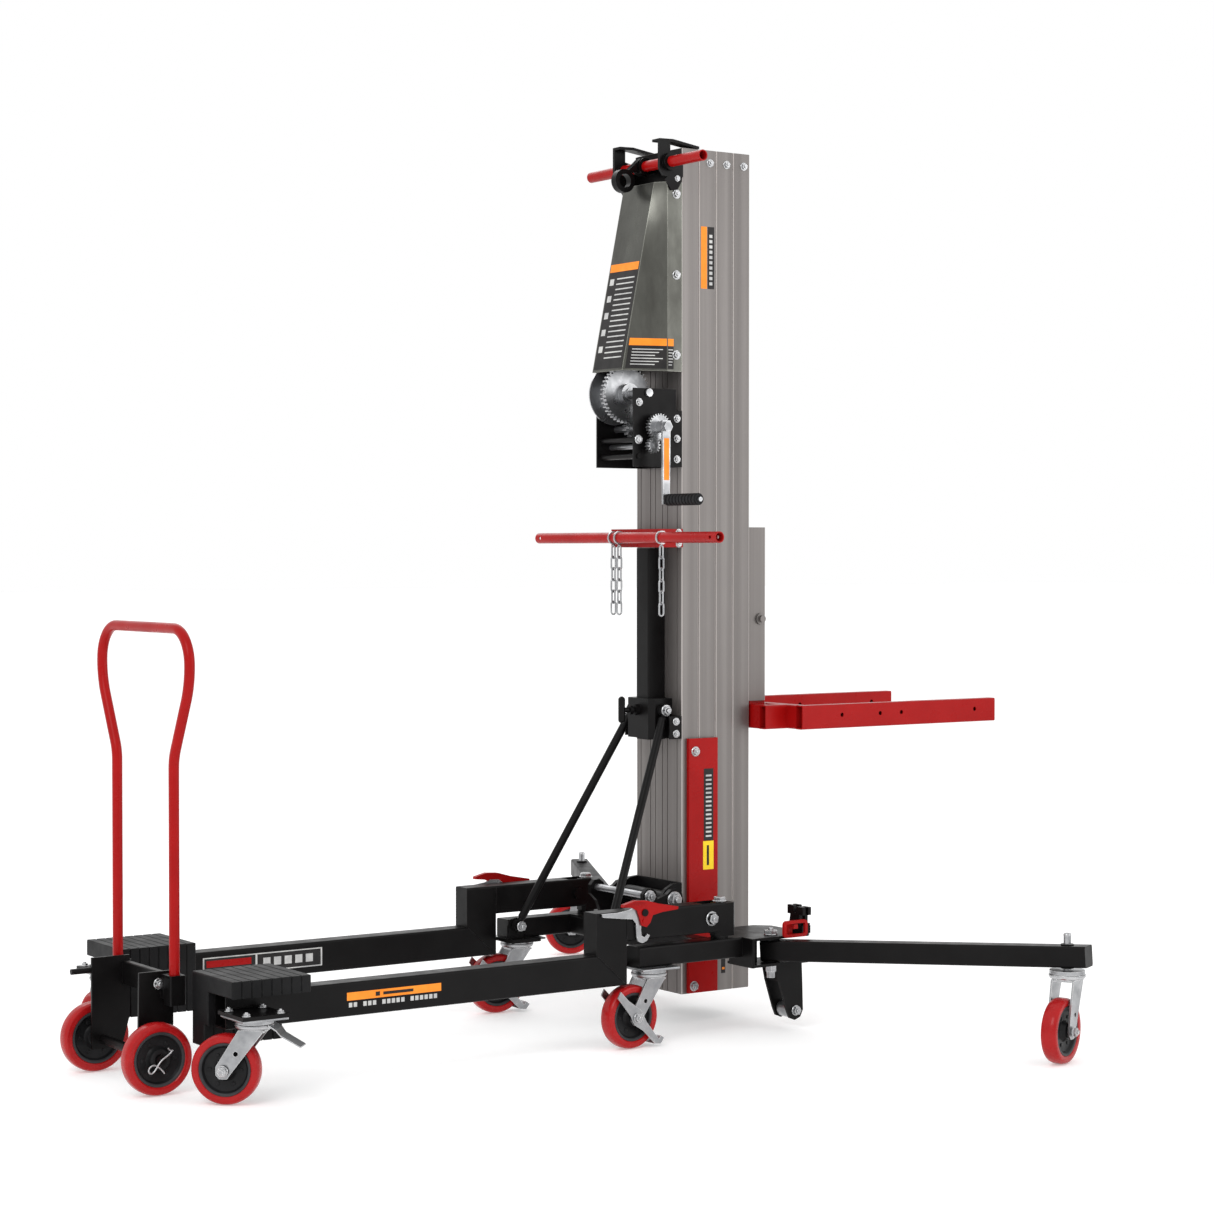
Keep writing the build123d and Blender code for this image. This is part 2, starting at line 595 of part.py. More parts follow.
def collar():
    """The sliding collar that ties the braces to the guide rail."""
    low, high = COLLAR_Z
    front = MAST_REAR - 0.5
    body = block((218, front), (-52, 52), (low, high))
    body = chamfer(body.edges().filter_by(Axis.Z).group_by(Axis.X)[0], 12)
    body = body + block((front - 6, front), (-90, 90), (low, low + 52))
    for side in (-1, 1):
        body = body + block((244, front), sorted((side * 86, side * 90)), (low, low + 52))
        for z in (low + 12, low + 40):
            body = body + hexagon(262, z, sorted((side * 90, side * 94)), 6)
        body = body + rod_y(249, 722, sorted((side * 51, side * 54)), 13)
    body = body - block((GUIDE_REAR - 0.5, front + 1), (-GUIDE_HALF - 0.5, GUIDE_HALF + 0.5), (low - 1, high + 1))
    body = body + (rod((219, 0, 722), (206, 0, 722), 13))
    return [body - rod((232, 0, 722), (200, 0, 722), 6 + RUNNING_GAP)]


def collar_knob():
    """The T-handled screw that locks the collar."""
    stem = rod((GUIDE_REAR - 0.6, 0, 722), (172, 0, 722), 6) + rod((200, 0, 722), (192, 0, 722), 11)
    handle = rod((172, 0, 700), (172, 0, 746), 8)
    return [stem + handle + Pos(172, 0, 700) * Sphere(8) + Pos(172, 0, 746) * Sphere(8)]


def brace():
    """A slanting brace rod from the base to the collar, flattened at both ends."""
    fx, fy, fz = BRACE_FOOT
    hx, hy, hz = BRACE_HEAD
    length = math.hypot(hx - fx, hz - fz)
    ux, uz = (hx - fx) / length, (hz - fz) / length
    low = (fx + 24 * ux, fy, fz + 24 * uz)
    high = (hx - 24 * ux, hy, hz - 24 * uz)
    foot = rod_y(fx, fz, (172, 186), 14) + rod((fx, fy + 1, fz), low, 7)
    head = rod_y(hx, hz, (57, 69), 14) + rod((hx, hy - 4, hz), high, 4.9)
    body = rod(low, high, BRACE_R) + foot + head + Pos(*low) * Sphere(BRACE_R) + Pos(*high) * Sphere(BRACE_R)
    body = body - rod_y(fx, fz, (160, 200), 6 + RUNNING_GAP)
    return [body + hexagon(hx, hz, (69, 76), 10) + rod_y(hx, hz, (76, 79), 6)]


def hood_shape(inset):
    """The hood as a solid: a narrow rear face, flared sides and parallel flanges."""
    sections = []
    for z, rear in ((COVER_Z[0], COVER_REAR[0]), (COVER_Z[1], COVER_REAR[1])):
        half = 60 - inset
        flare = 90 - inset
        right = [(rear + inset, -half), (COVER_FLARE, -flare), (MAST_REAR, -flare)]
        left = [(x, -y) for x, y in reversed(right)]
        sections.append(Pos(0, 0, z) * make_face(Polyline(*right, *left, close=True)))
    return loft(sections, ruled=True)


def cable_cover():
    """The folded sheet hood over the hoist cable: a wedge that widens downwards."""
    hood = hood_shape(0) - hood_shape(2)
    for side in (-1, 1):
        for z in (1539, 1722, 1907):
            hood = hood + hexagon(261, z, sorted((side * 90, side * 94)), 8)
    return [hood]


def top_bracket():
    """The bracket that carries the top bar, with its lifting eye."""
    x, z = TOP_BAR
    low = COVER_Z[1] + 2
    body = block((MAST_REAR - 5, MAST_REAR), (-88, 88), (low, 2012))
    ear = [(258, 1940), (MAST_REAR, 1946), (MAST_REAR, 1992), (242, 1998), (242, 2026), (212, 2030), (212, 1962), (224, 1946)]
    hood = [(212, 2024), (212, 2030), (250, 2031), (324, 2020), (324, 2014.5), (252, 2024)]
    skirt = [(245, 1914), (262, 1916), (272, 1932), (272, 1950), (240, 1950), (228, 1938)]
    for side in (-1, 1):
        body = body + plate_xz(ear, sorted((side * 86, side * 90)))
        body = body + plate_xz(skirt, sorted((side * 90.2, side * 94))) + plate_xz(ear, sorted((side * 90, side * 94)))
        body = body + plate_xz(hood, sorted((side * 64, side * 94)))
        body = body + rod_y(x, z, sorted((side * 84, side * 104)), 20)
    arm = plate_xz([(x - 18, z - 14), (x + 8, z - 20), (x + 8, z + 20), (x - 12, z + 18), (x - 48, z - 14)], (3, 21))
    body = body + rod_y(x - 55, z - 36, (3, 21), 27) + arm + rod_y(x, z, (-2, 26), 20)
    body = body + block((x, MAST_REAR - 1), (3, 21), (z - 12, z + 12))
    body = body - rod_y(x - 55, z - 36, (0, 24), 16)
    return [body - rod_y(x, z, (-105, 105), BAR_R)]


def tie_bars():
    """The two red cross bars behind the mast: one at the top and one at the load bracket."""
    tx, tz = TOP_BAR
    lx, lz = LOAD_BAR
    top = pipe((tx, -TOP_BAR_HALF, tz), (tx, TOP_BAR_HALF, tz), BAR_R, BAR_R - 2.5)
    low = pipe((lx, -LOAD_BAR_HALF, lz), (lx, LOAD_BAR_HALF, lz), BAR_R, BAR_R - 2.5)
    bracket = block((208, 212), (-94, 94), (1098, 1140)) + block((MAST_REAR - 4, MAST_REAR), (-90, 90), (1098, 1140))
    for side in (-1, 1):
        bracket = bracket + block((208, MAST_REAR), sorted((side * 90, side * 94)), (1098, 1140))
        for z in (1106, 1132):
            bracket = bracket + hexagon(266, z, sorted((side * 94, side * 98)), 6)
        bracket = bracket + block((lx + BAR_R - 2, 209), sorted((side * 70, side * 88)), (lz - 8, lz + 8))
        low = low - rod((lx - 20, side * (LOAD_BAR_HALF - 20), lz), (lx + 20, side * (LOAD_BAR_HALF - 20), lz), 4)
    return [top, low + bracket]


def chain_link(x, y, z, turned):
    """One welded chain link, standing upright."""
    straight, radius, wire = 9.0, 6.0, 2.0
    side = (0, radius) if turned else (radius, 0)
    legs = [rod((x + s * side[0], y + s * side[1], z - straight), (x + s * side[0], y + s * side[1], z + straight), wire)
            for s in (-1, 1)]
    normal = (1, 0, 0) if turned else (0, 1, 0)
    rings = []
    for top in (1, -1):
        ring = Plane(origin=(x, y, z + top * straight), z_dir=normal) * Torus(radius, wire)
        keep = block((x - 12, x + 12), (y - 12, y + 12), sorted((z + top * straight, z + top * (straight + 12))))
        rings.append(ring & keep)
    return legs[0] + legs[1] + rings[0] + rings[1]


def chain(y, count):
    """A short chain that hangs from a ring around the load bar."""
    x, z = LOAD_BAR
    links = [pipe((x, y - 2.5, z), (x, y + 2.5, z), BAR_R + 3, BAR_R + RUNNING_GAP)]
    first = z - BAR_R - 3 - 2 * (9.0 + 6.0 + 2.0) / 2
    for index in range(count):
        links.append(chain_link(x, y, first - index * 26.0, turned=index % 2 == 0))
    return links


# ---- winch ----
def winch_frame():
    """The winch's folded steel frame, bolted to the mast."""
    low, high = 1282.0, 1460.0
    back = block((MAST_REAR - 5, MAST_REAR), (-90, 60), (low, 1411))
    near = [(142, low), (MAST_REAR, low), (MAST_REAR, 1411), (261, 1411), (261, high), (142, high)]
    far = [(142, low), (MAST_REAR, low), (MAST_REAR, high), (204, 1476), (162, 1476), (142, 1404)]
    body = back + plate_xz(near, WINCH_NEAR) + plate_xz(far, WINCH_FAR)
    for x, z in ((156, 1343), (156, 1305)):
        body = body + rod_y(x, z, (WINCH_NEAR[0] - 4, WINCH_FAR[1] + 2), 6)
    for x, z in ((158, 1428), (264, 1393), (264, 1347), (264, 1300)):
        body = body + hexagon(x, z, (WINCH_NEAR[0] - 4, WINCH_NEAR[0]), 7)
    body = body - rod_y(*DRUM_AXLE, (-92, 62), 9 + RUNNING_GAP)
    body = body - rod_y(*CRANK_AXLE, (-92, 62), 8 + RUNNING_GAP)
    return [body - rod_y(*low_axle(), (-92, 62), 6 + RUNNING_GAP)]


def low_axle():
    """The axle of the low gear, one mesh below the crank's axle."""
    reach = OUTER_MODULE * (CRANK_TEETH + LOW_TEETH) / 2
    angle = math.radians(-110)
    return CRANK_AXLE[0] + reach * math.cos(angle), CRANK_AXLE[1] + reach * math.sin(angle)


def mesh_angle(start, end):
    """The direction from one axle to another, in degrees, in the X-Z plane."""
    return math.degrees(math.atan2(end[1] - start[1], end[0] - start[0]))


def winch_drum():
    """The cable drum with its flanges, wound cable, main gear and axle."""
    x, z = DRUM_AXLE
    towards = mesh_angle(DRUM_AXLE, CRANK_AXLE)
    body = rod_y(x, z, (-20, 49), 24) + rod_y(x, z, (-96, 66), 9)
    body = body + rod_y(x, z, (46, 49), 69) + rod_y(x, z, (8, 11), 56) + rod_y(x, z, (-24, -20), 14)
    body = body + gear(x, z, (-6, 6), MAIN_MODULE, MAIN_TEETH, towards)
    for index in range(7):
        y = 13.5 + 5.0 * index
        body = body + rod_y(x, z, (y - 2.3, y + 2.3), 40)
    return [body]


def winch_crank():
    """The crank: its shaft, drive pinion, outer gear and arm."""
    x, z = CRANK_AXLE
    toward_drum = mesh_angle(CRANK_AXLE, DRUM_AXLE)
    toward_low = mesh_angle(CRANK_AXLE, low_axle())
    body = rod_y(x, z, (-136, 66), 8)
    body = body + gear(x, z, (-8, 7.5), MAIN_MODULE, SHAFT_TEETH, toward_drum + 180 / SHAFT_TEETH)
    body = body + gear(x, z, OUTER_GEAR_Y, OUTER_MODULE, CRANK_TEETH, toward_low)
    body = body + rod_y(x, z, (-142, OUTER_GEAR_Y[0]), 14) + hexagon(x, z, (-150, -142), 12)
    foot = z - CRANK_ARM
    body = body + plate_xz([(x - 11, z + 14), (x - 9, foot - 10), (x + 9, foot - 10), (x + 11, z + 14)], (-142, -136))
    return [body + rod_y(x, foot, (-146 - GRIP_LENGTH - 6, -138), 5)]


def winch_low_gear():
    """The small gear that meshes with the crank's outer gear."""
    x, z = low_axle()
    towards = mesh_angle((x, z), CRANK_AXLE)
    body = gear(x, z, OUTER_GEAR_Y, OUTER_MODULE, LOW_TEETH, towards + 180 / LOW_TEETH)
    return [body + rod_y(x, z, (-122, 66), 6)]


def crank_grip():
    """The ribbed rubber grip that spins on the crank's stub."""
    x, z = CRANK_AXLE[0], CRANK_AXLE[1] - CRANK_ARM
    start = -146.0
    body = rod_y(x, z, (start - GRIP_LENGTH, start), 12)
    for index in range(10):
        y = start - 6 - index * 12
        body = body + rod_y(x, z, (y - 3.5, y + 3.5), 13.5)
    return [body - rod_y(x, z, (start - GRIP_LENGTH - 2, start + 2), 5 + RUNNING_GAP)]


# ---- transport dolly ----
def dolly_frame():
    """The wheeled tow frame between the counterweights."""
    x = DOLLY_X
    side = box_tube((x, DOLLY_HALF, 175), (x, DOLLY_HALF, 235), 34, 34, 5, 3, up=(1, 0, 0))
    side = side + block((x - 17, x + 17), (104, 121), (186, 235))
    frame = side + mirror(side, about=Plane.XZ)
    frame = frame + plate_xz([(-1097, 55), (-1030, 55), (-1012, 120), (-1012, 246), (-1097, 246)], (100, 106))
    frame = frame + plate_xz([(-1088, 55), (-1040, 55), (-1010, 130), (-1010, 240), (-1085, 240)], (-106, -100))
    frame = frame + box_tube((-1022, -104, 210), (-1022, 104, 210), 16, 50, 3, 3)
    frame = frame + rod_y(*DOLLY_AXLE, (-174, 174), 10)
    lever = rod((-1090, 110, 219), (-1139, 110, 219), 6) + rod_y(-1086, 219, (106, 118), 11)
    bolts = hexagon(-1042, 215, (106, 112), 9) + hexagon(-1042, 215, (-112, -106), 9)
    return [frame + lever + bolts]


def dolly_handle():
    """The bent tube handle of the dolly."""
    x, h = DOLLY_X, DOLLY_HALF
    right = [(x, -h, 190), (x, -h, 676), (x, -205, 800), (x, -212, 878), (x, -150, 934)]
    left = [(px, -py, pz) for px, py, pz in reversed(right)]
    path = FilletPolyline(*right, *left, radius=[130, 160, 52, 46, 46, 52, 160, 130])
    face = Plane(origin=path @ 0, z_dir=path % 0) * Circle(HANDLE_R)
    return [sweep(face, path=path)]


def main():
    os.makedirs("parts", exist_ok=True)
    save("base_frame", [base_frame()])
    save("base_hardware", base_hardware())
    save_pair("skid_roller", skid_roller())
    save_pair("leg", leg())
    save_pair("leg_hardware", leg_hardware())
    save_pair("leg_knuckle", leg_knuckle())
    save_pair("counterweight", counterweight())
    save_pair("latch_lever", latch_lever())
    save_pair("latch_hook", latch_hook())
    save_pair("outrigger", outrigger())
    save_pair("outrigger_lock", outrigger_lock())
    for side, sign in (("left", 1), ("right", -1)):
        x, y = BRAKE_SWIVEL
        caster(f"brake_caster_{side}", (x, sign * y), -sign * BRAKE_YAW, PLATE_TRAIL, CASTER_TOP - 5)
        save(f"brake_pedal_{side}", [brake_pedal(x, sign * y, -sign * BRAKE_YAW)])
        x, y = REAR_SWIVEL
        caster(f"rear_caster_{side}", (x, sign * y), sign * REAR_YAW, PLATE_TRAIL, CASTER_TOP - 5)
        x, y = STEM_SWIVEL
        caster(f"front_caster_{side}", (x, sign * y), -sign * STEM_YAW, STEM_TRAIL, 196, 270)
        ax, az = DOLLY_AXLE
        save(f"dolly_wheel_{side}", wheel(ax, sign * 152, DOLLY_WHEEL_R, WHEEL_W, 10 + RUNNING_GAP, 0))
    for index in range(4):
        save(f"mast_section_{index + 1}", mast_section(index))
    save("carriage", carriage())
    save("fork_frame", fork_frame())
    save("guide_rail", guide_rail())
    save("side_channels", side_channels())
    save("collar", collar())
    save("collar_knob", collar_knob())
    save_pair("brace", brace())
    save("cable_cover", cable_cover())
    save("top_bracket", top_bracket())
    save("tie_bars", tie_bars())
    save("chain_left", chain(24, 6) + chain(48, 6))
    save("chain_right", chain(-143, 6))
    save("winch_frame", winch_frame())
    save("winch_drum", winch_drum())
    save("winch_crank", winch_crank())
    save("winch_low_gear", winch_low_gear())
    save("crank_grip", crank_grip())
    save("dolly_frame", dolly_frame())
    save("dolly_handle", dolly_handle())


main()
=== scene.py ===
import bpy
import bmesh
import json
import math
from mathutils import Matrix, Vector


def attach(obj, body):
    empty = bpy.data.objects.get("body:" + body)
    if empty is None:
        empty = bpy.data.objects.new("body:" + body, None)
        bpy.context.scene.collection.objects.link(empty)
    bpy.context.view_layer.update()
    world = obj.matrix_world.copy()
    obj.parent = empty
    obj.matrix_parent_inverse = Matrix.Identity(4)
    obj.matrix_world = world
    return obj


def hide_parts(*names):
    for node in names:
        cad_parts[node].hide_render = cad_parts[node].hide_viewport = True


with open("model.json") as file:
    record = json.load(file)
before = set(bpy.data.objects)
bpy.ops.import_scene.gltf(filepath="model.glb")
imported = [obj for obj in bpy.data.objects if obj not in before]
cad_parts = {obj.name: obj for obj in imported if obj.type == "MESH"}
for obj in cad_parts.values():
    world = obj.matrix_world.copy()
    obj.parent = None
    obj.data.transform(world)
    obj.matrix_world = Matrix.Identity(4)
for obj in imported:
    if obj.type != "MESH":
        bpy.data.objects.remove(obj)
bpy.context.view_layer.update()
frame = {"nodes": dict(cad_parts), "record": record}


# ---- materials ----
def new_material(name):
    """An empty node material and its shader."""
    mat = bpy.data.materials.new(name)
    mat.use_nodes = True
    return mat, mat.node_tree, mat.node_tree.nodes["Principled BSDF"]


def noise(tree, scale, detail=4.0, stretch=(1, 1, 1), rough=0.55):
    """A noise texture in object coordinates, stretched along the axes."""
    coord = tree.nodes.new("ShaderNodeTexCoord")
    mapping = tree.nodes.new("ShaderNodeMapping")
    mapping.inputs["Scale"].default_value = stretch
    tree.links.new(coord.outputs["Object"], mapping.inputs["Vector"])
    tex = tree.nodes.new("ShaderNodeTexNoise")
    tex.inputs["Scale"].default_value = scale
    tex.inputs["Detail"].default_value = detail
    tex.inputs["Roughness"].default_value = rough
    tree.links.new(mapping.outputs["Vector"], tex.inputs["Vector"])
    return tex.outputs["Fac"]


def spread(tree, value, low, high, out_low, out_high):
    """Maps a value from one range to another."""
    node = tree.nodes.new("ShaderNodeMapRange")
    node.inputs["From Min"].default_value = low
    node.inputs["From Max"].default_value = high
    node.inputs["To Min"].default_value = out_low
    node.inputs["To Max"].default_value = out_high
    tree.links.new(value, node.inputs["Value"])
    return node.outputs["Result"]


def mix(tree, fac, first, second):
    """Blends two colours or colour sockets."""
    node = tree.nodes.new("ShaderNodeMix")
    node.data_type = "RGBA"
    tree.links.new(fac, node.inputs["Factor"])
    for value, socket in ((first, node.inputs["A"]), (second, node.inputs["B"])):
        if isinstance(value, tuple):
            socket.default_value = (*value, 1)
        else:
            tree.links.new(value, socket)
    return node.outputs["Result"]


def edges(tree, radius=0.0012):
    """One along sharp edges, where a rounded normal leaves the face's own."""
    geometry = tree.nodes.new("ShaderNodeNewGeometry")
    rounded = tree.nodes.new("ShaderNodeBevel")
    rounded.samples = 4
    rounded.inputs["Radius"].default_value = radius
    dot = tree.nodes.new("ShaderNodeVectorMath")
    dot.operation = "DOT_PRODUCT"
    tree.links.new(geometry.outputs["True Normal"], dot.inputs[0])
    tree.links.new(rounded.outputs["Normal"], dot.inputs[1])
    return spread(tree, dot.outputs["Value"], 0.995, 0.93, 0, 1)


def corners(tree):
    """One on surfaces that face diagonally outwards, such as a column's rounded corners, where metal() paints
    a highlight.
    """
    geometry = tree.nodes.new("ShaderNodeNewGeometry")
    parts = tree.nodes.new("ShaderNodeSeparateXYZ")
    tree.links.new(geometry.outputs["True Normal"], parts.inputs[0])
    size = tree.nodes.new("ShaderNodeMath")
    size.operation = "ABSOLUTE"
    tree.links.new(times(tree, parts.outputs["X"], parts.outputs["Y"]), size.inputs[0])
    return spread(tree, size.outputs[0], 0.06, 0.30, 0, 1)


def times(tree, first, second):
    """The product of two values."""
    node = tree.nodes.new("ShaderNodeMath")
    node.operation = "MULTIPLY"
    for value, socket in ((first, node.inputs[0]), (second, node.inputs[1])):
        if isinstance(value, float):
            socket.default_value = value
        else:
            tree.links.new(value, socket)
    return node.outputs[0]


def bump(tree, shader, height, strength, distance):
    """Adds fine relief."""
    node = tree.nodes.new("ShaderNodeBump")
    node.inputs["Strength"].default_value = strength
    node.inputs["Distance"].default_value = distance
    tree.links.new(height, node.inputs["Height"])
    tree.links.new(node.outputs["Normal"], shader.inputs["Normal"])


def paint(name, dark, light, worn, rough, grain, coat, wear=0.5):
    """Powder coat: a faint orange peel, uneven sheen and rubbed edges."""
    mat, tree, shader = new_material(name)
    cloud = spread(tree, noise(tree, 9.0, 5.0), 0.35, 0.65, 0, 1)
    colour = mix(tree, cloud, dark, light)
    rubbed = times(tree, edges(tree), spread(tree, noise(tree, 60.0, 6.0), 0.48, 0.62, 0, wear))
    tree.links.new(mix(tree, rubbed, colour, worn), shader.inputs["Base Color"])
    sheen = spread(tree, noise(tree, 24.0, 6.0), 0.3, 0.7, rough - 0.07, rough + 0.1)
    tree.links.new(sheen, shader.inputs["Roughness"])
    bump(tree, shader, noise(tree, grain, 2.0), 0.12, 0.0004)
    shader.inputs["Specular IOR Level"].default_value = 0.13
    shader.inputs["Coat Weight"].default_value = coat
    shader.inputs["Coat Roughness"].default_value = 0.18
    return mat


def metal(name, dark, light, rough, stretch, scale, lines, metallic=1.0, arris=0.0012, column=False):
    """Bare or plated metal with drawn lines, uneven shine, and painted highlights along its edges or along a
    column's diagonal corners.
    """
    mat, tree, shader = new_material(name)
    shader.inputs["Metallic"].default_value = metallic
    streak = noise(tree, scale, 6.0, stretch, 0.6)
    cloud = noise(tree, 5.0, 4.0)
    tone = spread(tree, streak, 0.3, 0.7, 0, 1)
    colour = mix(tree, tone, dark, light)
    shade = mix(tree, spread(tree, cloud, 0.4, 0.7, 0, 0.35), colour, dark)
    # Painted highlight: along sharp edges, or a column's diagonal corners, the colour is mixed up to 80%
    # towards 2.4 times the light tone.
    painted_highlight = tuple(min(1.0, 2.4 * part) for part in light)
    rim = corners(tree) if column else edges(tree, arris)
    shade = mix(tree, times(tree, rim, 0.8), shade, painted_highlight)
    tree.links.new(shade, shader.inputs["Base Color"])
    tree.links.new(spread(tree, streak, 0.3, 0.7, rough + 0.08, rough - 0.06), shader.inputs["Roughness"])
    bump(tree, shader, streak, lines, 0.0003)
    return mat


def moulded(name, dark, light, rough, grain, coat=0.0):
    """Moulded plastic, rubber or urethane."""
    mat, tree, shader = new_material(name)
    cloud = spread(tree, noise(tree, 30.0, 5.0), 0.35, 0.65, 0, 1)
    tree.links.new(mix(tree, cloud, dark, light), shader.inputs["Base Color"])
    sheen = spread(tree, noise(tree, 80.0, 4.0), 0.3, 0.7, rough - 0.06, rough + 0.08)
    tree.links.new(sheen, shader.inputs["Roughness"])
    bump(tree, shader, noise(tree, grain, 3.0), 0.15, 0.0003)
    shader.inputs["Specular IOR Level"].default_value = 0.16
    shader.inputs["Coat Weight"].default_value = coat
    return mat


BLACK = paint("black_powder_coat", (0.0026, 0.0023, 0.0024), (0.0048, 0.0043, 0.0044), (0.05, 0.05, 0.052),
              rough=0.36, grain=700.0, coat=0.0)
WEIGHT = paint("painted_casting", (0.005, 0.005, 0.0055), (0.010, 0.010, 0.0105), (0.06, 0.06, 0.06),
               rough=0.48, grain=260.0, coat=0.0)
RED = paint("red_powder_coat", (0.30, 0.003, 0.003), (0.345, 0.005, 0.005), (0.48, 0.04, 0.04),
            rough=0.30, grain=600.0, coat=0.0, wear=0.15)
ZINC = metal("zinc_plate", (0.25, 0.255, 0.265), (0.44, 0.445, 0.455),
             rough=0.30, stretch=(1, 1, 1), scale=30.0, lines=0.02, metallic=0.92)
MAST = metal("mill_aluminium", (0.155, 0.142, 0.136), (0.205, 0.190, 0.182),
             rough=0.40, stretch=(14, 14, 0.12), scale=2.0, lines=0.03, metallic=0.7, column=True)
SHEET = metal("galvanised_sheet", (0.060, 0.059, 0.052), (0.125, 0.126, 0.112),
              rough=0.30, stretch=(1, 1, 0.4), scale=14.0, lines=0.03, metallic=0.85, arris=0.003)
URETHANE = moulded("red_urethane", (0.33, 0.006, 0.007), (0.38, 0.010, 0.011), 0.24, 300.0, 0.1)
RIM = moulded("grey_rim", (0.030, 0.030, 0.032), (0.045, 0.045, 0.048), 0.42, 500.0)
HUB = moulded("black_hub", (0.006, 0.006, 0.0065), (0.012, 0.012, 0.013), 0.36, 600.0)
RUBBER = moulded("black_rubber", (0.008, 0.008, 0.0085), (0.016, 0.016, 0.017), 0.62, 500.0)
ORANGE = moulded("orange_label", (0.86, 0.24, 0.02), (0.92, 0.29, 0.03), 0.38, 300.0)
YELLOW = moulded("yellow_label", (0.90, 0.62, 0.02), (0.95, 0.68, 0.03), 0.38, 300.0)
LABEL = moulded("black_label", (0.016, 0.015, 0.015), (0.026, 0.024, 0.024), 0.34, 300.0)
INK = moulded("pale_ink", (0.42, 0.42, 0.42), (0.60, 0.60, 0.58), 0.42, 300.0)
FLOOR = moulded("pale_floor", (0.80, 0.80, 0.80), (0.82, 0.82, 0.82), 0.75, 40.0)
floor_shader = FLOOR.node_tree.nodes["Principled BSDF"]
floor_shader.inputs["Emission Color"].default_value = (1, 1, 1, 1)
floor_shader.inputs["Emission Strength"].default_value = 0.30
floor_shader.inputs["Specular IOR Level"].default_value = 0.1

SLOT_MATERIALS = {
    "black_paint": BLACK,
    "red_paint": RED,
    "zinc_plate": ZINC,
    "mast_aluminium": MAST,
    "galvanised_sheet": SHEET,
    "cast_weight": WEIGHT,
    "red_urethane": URETHANE,
    "black_rubber": RUBBER,
}
SIDES = (("left", 1), ("right", -1))
# Planes that bolts and labels stand on, as distances from the centre plane (mm)
MAST_SIDE, CHANNEL_SIDE, LEG_INNER, LEG_OUTER = 90.0, 100.0, 243.0, 293.0


# ---- mesh helpers ----
def finish_mesh(name, bm, material, body, smooth=True):
    """Turns a bmesh into a named piece that rides on a body."""
    bmesh.ops.recalc_face_normals(bm, faces=bm.faces)
    mesh = bpy.data.meshes.new(name)
    bm.to_mesh(mesh)
    bm.free()
    obj = bpy.data.objects.new(name, mesh)
    bpy.context.scene.collection.objects.link(obj)
    mesh.materials.append(material)
    if smooth:
        mesh.shade_smooth()
        mesh.set_sharp_from_angle(angle=math.radians(32))
    if body:
        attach(obj, body)
    return obj


def facing(centre, direction):
    """A matrix that stands local Z along a direction, in millimetres."""
    turn = Vector(direction).to_track_quat("Z", "Y").to_matrix().to_4x4()
    return Matrix.Translation(Vector(centre) / 1000) @ turn


def ring_of(bm, place, radius, height, steps, turn=0.0):
    """A ring of vertices about local Z, from sizes in millimetres."""
    ring = []
    for step in range(steps):
        angle = 2 * math.pi * (step + turn) / steps
        point = Vector((radius * math.cos(angle), radius * math.sin(angle), height)) / 1000
        ring.append(bm.verts.new(place @ point))
    return ring


def skin(bm, rings, caps=True):
    """Joins each ring to the next, and closes both ends."""
    steps = len(rings[0])
    for lower, upper in zip(rings, rings[1:]):
        for step in range(steps):
            after = (step + 1) % steps
            bm.faces.new((lower[step], lower[after], upper[after], upper[step]))
    if caps:
        bm.faces.new(rings[0])
        bm.faces.new(rings[-1])


def lathe(bm, profile, place, steps=48, ring_shape=False):
    """Revolves (radius, height) points in millimetres about local Z."""
    rings = [ring_of(bm, place, radius, height, steps) for radius, height in profile]
    if ring_shape:
        skin(bm, rings + rings[:1], False)
    else:
        skin(bm, rings)


def prism(bm, sides, radius, low, high, place, turn=0.0, crown=0.0):
    """A hexagon or other regular prism with a chamfered crown."""
    levels = [(radius, low), (radius, high - crown), (radius - crown * 1.4, high)]
    skin(bm, [ring_of(bm, place, size, height, sides, turn) for size, height in levels])


def bolt(name, centre, direction, size, body, material=ZINC, nut=True):
    """A flanged bolt head or nut with its threaded end, standing on a face."""
    bm = bmesh.new()
    place = facing(centre, direction)
    washer = [(1.25, 0), (1.3, 0.1), (1.2, 0.22), (0.9, 0.24)]
    lathe(bm, [(size * radius, size * height) for radius, height in washer], place, 28)
    prism(bm, 6, size, size * 0.2, size * 0.85, place, 0.3, size * 0.1)
    if nut:
        end = [(0.5, 0.8), (0.5, 1.15), (0.42, 1.25), (0.3, 1.25)]
        lathe(bm, [(size * radius, size * height) for radius, height in end], place, 20)
    return finish_mesh(name, bm, material, body)


def slab(bm, corners, normal, thick):
    """A thin plate from four corner points in millimetres, raised along a normal."""
    lift = Vector(normal).normalized() * thick
    low = [bm.verts.new(Vector(c) / 1000) for c in corners]
    high = [bm.verts.new((Vector(c) + lift) / 1000) for c in corners]
    bm.faces.new(low)
    bm.faces.new(high)
    for index in range(4):
        after = (index + 1) % 4
        bm.faces.new((low[index], low[after], high[after], high[index]))


def plate_of(corners, u, v):
    """A point inside a four-cornered area, from two fractions."""
    a, b, c, d = [Vector(p) for p in corners]
    low = a.lerp(b, u)
    high = d.lerp(c, u)
    return low.lerp(high, v)


def patches(name, corners, windows, normal, thick, material, body):
    """Thin plain rectangles, each on a window of a four-cornered area."""
    bm = bmesh.new()
    for (u0, u1), (v0, v1) in windows:
        window = ((u0, v0), (u1, v0), (u1, v1), (u0, v1))
        slab(bm, [plate_of(corners, u, v) for u, v in window], normal, thick)
    return finish_mesh(name, bm, material, body, False)


